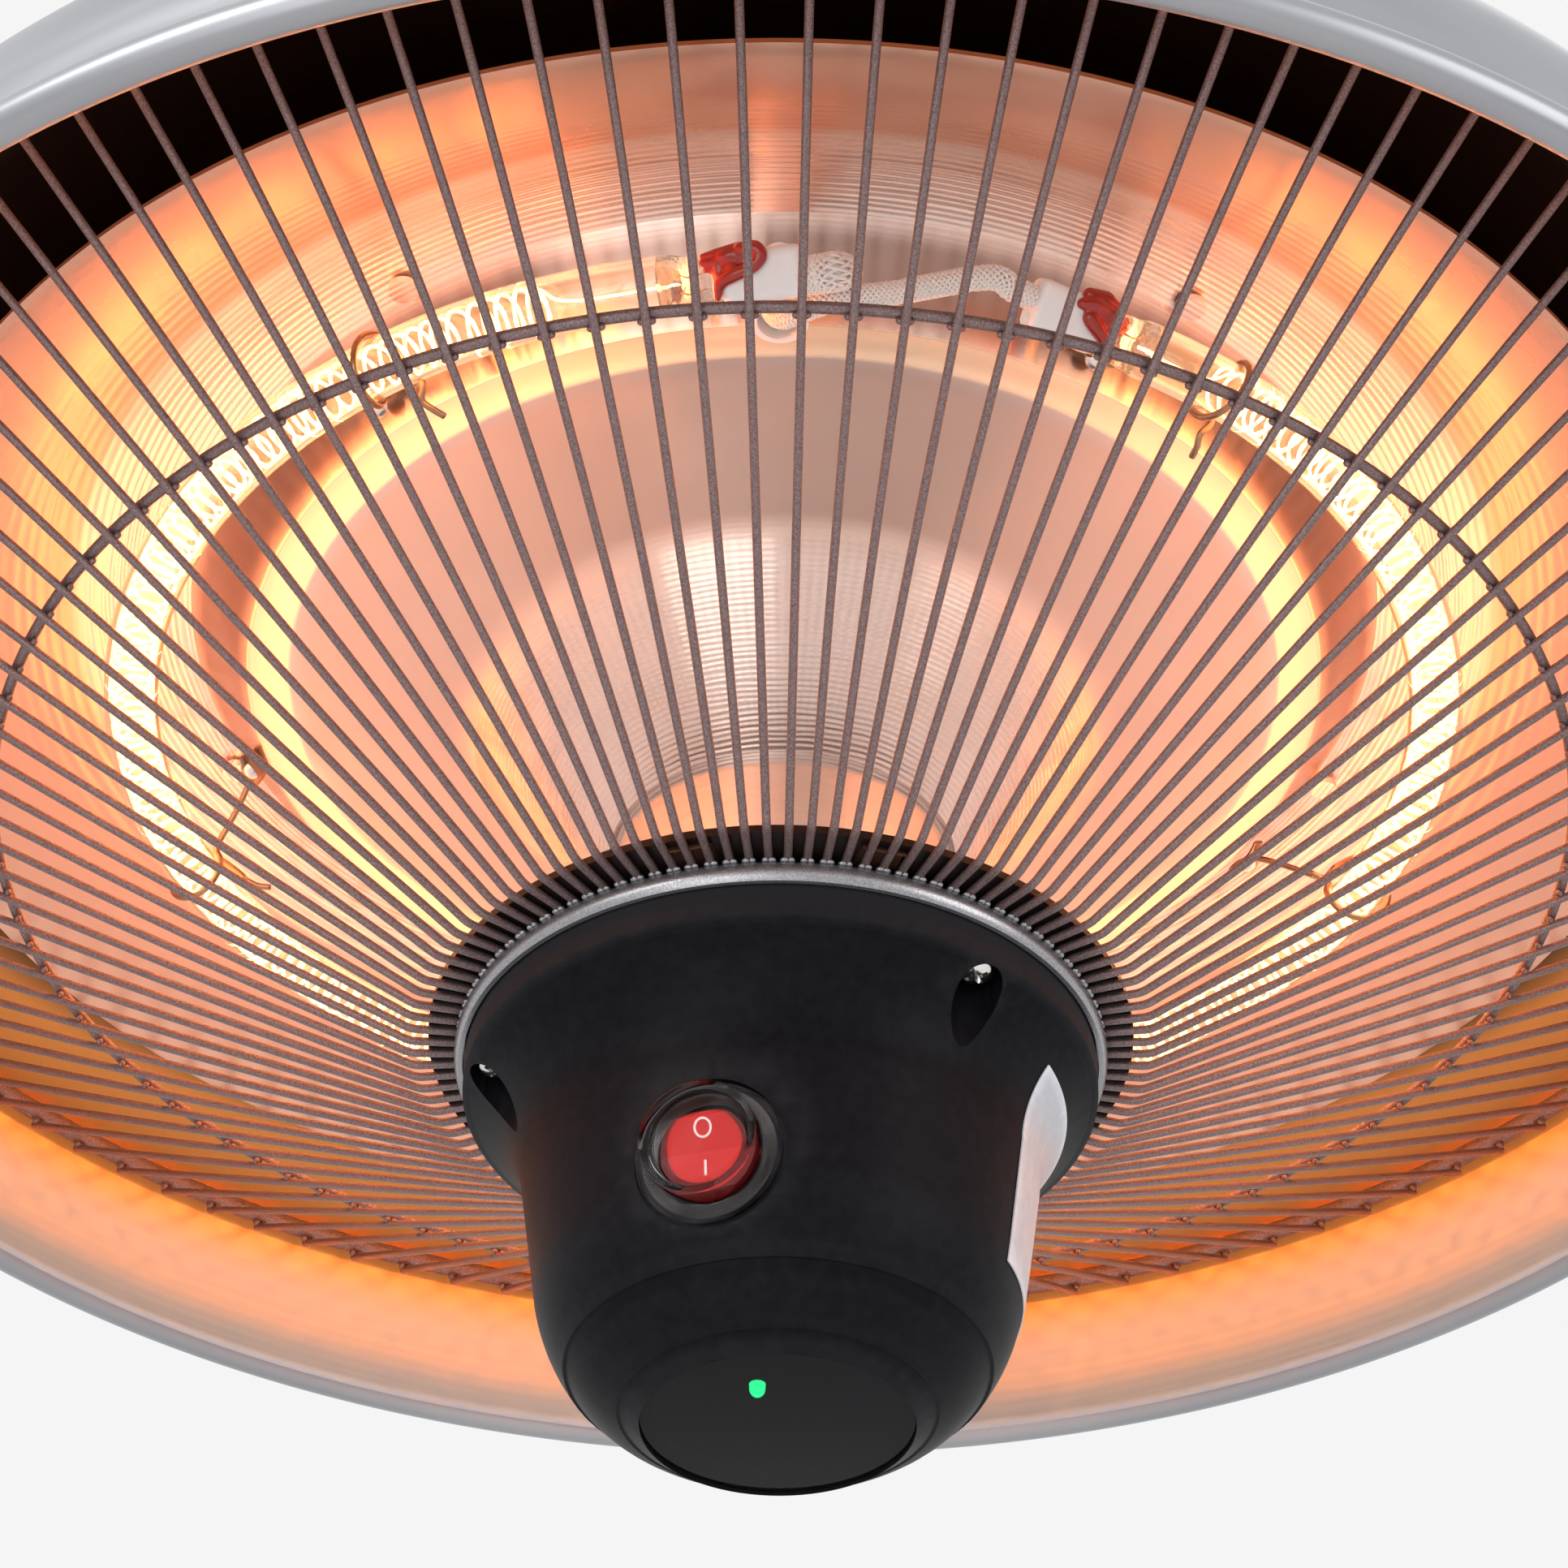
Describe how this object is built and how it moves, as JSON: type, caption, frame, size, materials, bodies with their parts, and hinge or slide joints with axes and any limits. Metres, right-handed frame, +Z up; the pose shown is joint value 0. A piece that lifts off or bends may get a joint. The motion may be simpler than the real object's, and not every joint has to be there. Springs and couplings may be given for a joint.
{
  "type": "ceiling infrared heater",
  "caption": "Hanging infrared heater: round metal shade over a spun reflector, ring-shaped quartz lamp, radial wire guard and a dark control housing with a rocker switch.",
  "frame": {"origin": "Centre of the hanging eye's bore", "axes": "+Z up along the axis of the heater, +Y to the cable gland at the back, +X to the right of the front"},
  "size_m": [0.425, 0.4248, 0.2698],
  "materials": {
    "shade_lacquer": "silver lacquer, glossy, with fine spun lines",
    "black_plastic": "matt black with a fine spark grain",
    "zinc_steel": "bright zinc plated",
    "black_steel": "black lacquer",
    "reflector_aluminium": "bright spun aluminium with turning grooves",
    "guard_coat": "grey-brown hammered powder coat",
    "quartz_glass": "clear drawn quartz",
    "filament_alloy": "glowing yellow-white",
    "seal_silicone": "red silicone, satin",
    "white_ceramic": "white steatite",
    "glass_sleeving": "woven white sleeving",
    "spring_steel": "bare spring wire",
    "brass_contact": "plain brass",
    "wire_insulation": "silicone sheath",
    "smoked_window": "dark smoked plastic",
    "label_film": "white film, blank",
    "red_rocker": "translucent red",
    "clear_cap": "clear soft plastic",
    "board_laminate": "green laminate",
    "led_green": "clear green, lit",
    "component_plastic": "black moulded cases"
  },
  "bodies": {
    "heater_body": {"board_screws": "zinc_steel", "capacitors": "component_plastic", "clip_rivets": "zinc_steel", "column_cable": "wire_insulation", "column_nuts": "zinc_steel", "column_washers": "zinc_steel", "control_board": "board_laminate", "gland_body": "black_plastic", "gland_nut": "black_plastic", "gland_seal": "seal_silicone", "guard_inner_ring": "guard_coat", "guard_middle_ring": "guard_coat", "guard_outer_ring": "guard_coat", "guard_wires_1": "guard_coat", "guard_wires_10": "guard_coat", "guard_wires_2": "guard_coat", "guard_wires_3": "guard_coat", "guard_wires_4": "guard_coat", "guard_wires_5": "guard_coat", "guard_wires_6": "guard_coat", "guard_wires_7": "guard_coat", "guard_wires_8": "guard_coat", "guard_wires_9": "guard_coat", "hanging_eye": "zinc_steel", "housing_screws": "zinc_steel", "housing_shell": "black_plastic", "infrared_receiver": "component_plastic", "label_plate": "label_film", "lamp_boots": "seal_silicone", "lamp_ceramics": "white_ceramic", "lamp_clips": "spring_steel", "lamp_filament": "filament_alloy", "lamp_lead_left": "glass_sleeving", "lamp_lead_right": "glass_sleeving", "lamp_pinches": "quartz_glass", "lamp_tube": "quartz_glass", "lead_bush": "white_ceramic", "lead_connector": "white_ceramic", "mounting_disc": "black_steel", "reflector": "reflector_aluminium", "reflector_clamp": "zinc_steel", "reflector_neck": "reflector_aluminium", "relay": "component_plastic", "screw_spacers": "zinc_steel", "sensor_window": "smoked_window", "shade": "shade_lacquer", "spacer_tube": "zinc_steel", "splash_cap": "clear_cap", "status_led": "led_green", "support_rod": "zinc_steel", "switch_body": "black_plastic", "switch_terminals": "brass_contact", "switch_wires": "wire_insulation", "terminal_block": "white_ceramic", "terminal_screws": "brass_contact", "top_cap": "black_plastic", "transformer": "component_plastic"},
    "rocker": {"rocker": "red_rocker", "rocker_plunger": "brass_contact"},
    "contact_lever": {"contact_lever": "brass_contact"}
  },
  "joints": [
    {"name": "rocker_tilt", "type": "hinge", "parent": "heater_body", "child": "rocker", "pos_m": [-0.01094, -0.03578, -0.22903], "axis": [0.9563, -0.2924, 0], "range_deg": [-16, 0]},
    {"name": "contact_tilt", "type": "hinge", "parent": "heater_body", "child": "contact_lever", "pos_m": [-0.0086, -0.02813, -0.22777], "axis": [0.9563, -0.2924, 0], "range_deg": [0, 10]}
  ],
  "couplings": [
    {"joint": "contact_tilt", "follows": "rocker_tilt", "ratio": -0.625}
  ]
}
